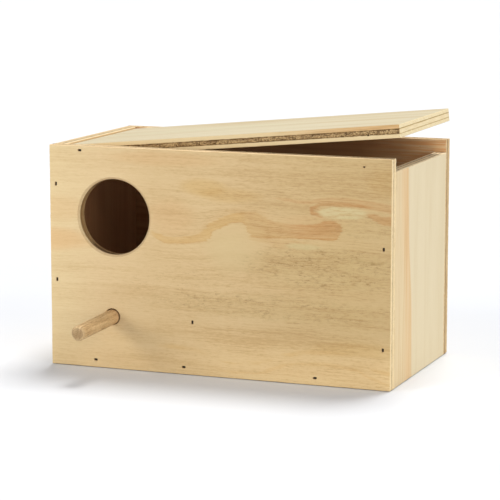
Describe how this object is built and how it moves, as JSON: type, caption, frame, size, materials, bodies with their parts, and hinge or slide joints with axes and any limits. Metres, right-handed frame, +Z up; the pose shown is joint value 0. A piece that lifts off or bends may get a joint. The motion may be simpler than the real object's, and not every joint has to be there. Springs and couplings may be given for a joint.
{
  "type": "birdhouse",
  "caption": "Plywood nest box for small pet birds, with a round entrance, a dowel perch and a flat lid that swings up on brads at the entrance end.",
  "frame": {"origin": "centre of the box's underside", "axes": "+X along the front towards the lid's free end, -Y out of the front panel and its entrance, +Z up"},
  "size_m": [0.2674, 0.2041, 0.1888],
  "materials": {
    "front_plywood": "bare sanded plywood, flat-sawn pine face",
    "back_plywood": "bare sanded plywood, flat-sawn pine face",
    "side_plywood": "bare sanded plywood, pale straight grain",
    "inner_plywood": "bare plywood",
    "lid_plywood": "bare sanded plywood, pale face",
    "perch_wood": "bare turned hardwood dowel",
    "brad_steel": "dark coated steel wire"
  },
  "bodies": {
    "box": {"front_panel": "front_plywood", "back_panel": "back_plywood", "left_side_panel": "side_plywood", "right_side_panel": "side_plywood", "floor_panel": "inner_plywood", "nest_divider": "inner_plywood", "perch_dowel": "perch_wood", "front_brad_left_upper": "brad_steel", "front_brad_left_lower": "brad_steel", "front_brad_right_upper": "brad_steel", "front_brad_right_lower": "brad_steel", "front_brad_floor_left": "brad_steel", "front_brad_floor_middle": "brad_steel", "front_brad_floor_right": "brad_steel", "front_brad_divider": "brad_steel", "front_pivot_brad": "brad_steel", "back_brad_left_upper": "brad_steel", "back_brad_left_lower": "brad_steel", "back_brad_right_upper": "brad_steel", "back_brad_right_lower": "brad_steel", "back_brad_floor_left": "brad_steel", "back_brad_floor_middle": "brad_steel", "back_brad_floor_right": "brad_steel", "back_brad_divider": "brad_steel", "back_pivot_brad": "brad_steel"},
    "lid": {"lid": "lid_plywood"}
  },
  "joints": [
    {"name": "lid_hinge", "type": "hinge", "parent": "box", "child": "lid", "pos_m": [-0.1078, 0, 0.1617], "axis": [0, -1, 0], "range_deg": [-5.57, 146.4]}
  ]
}
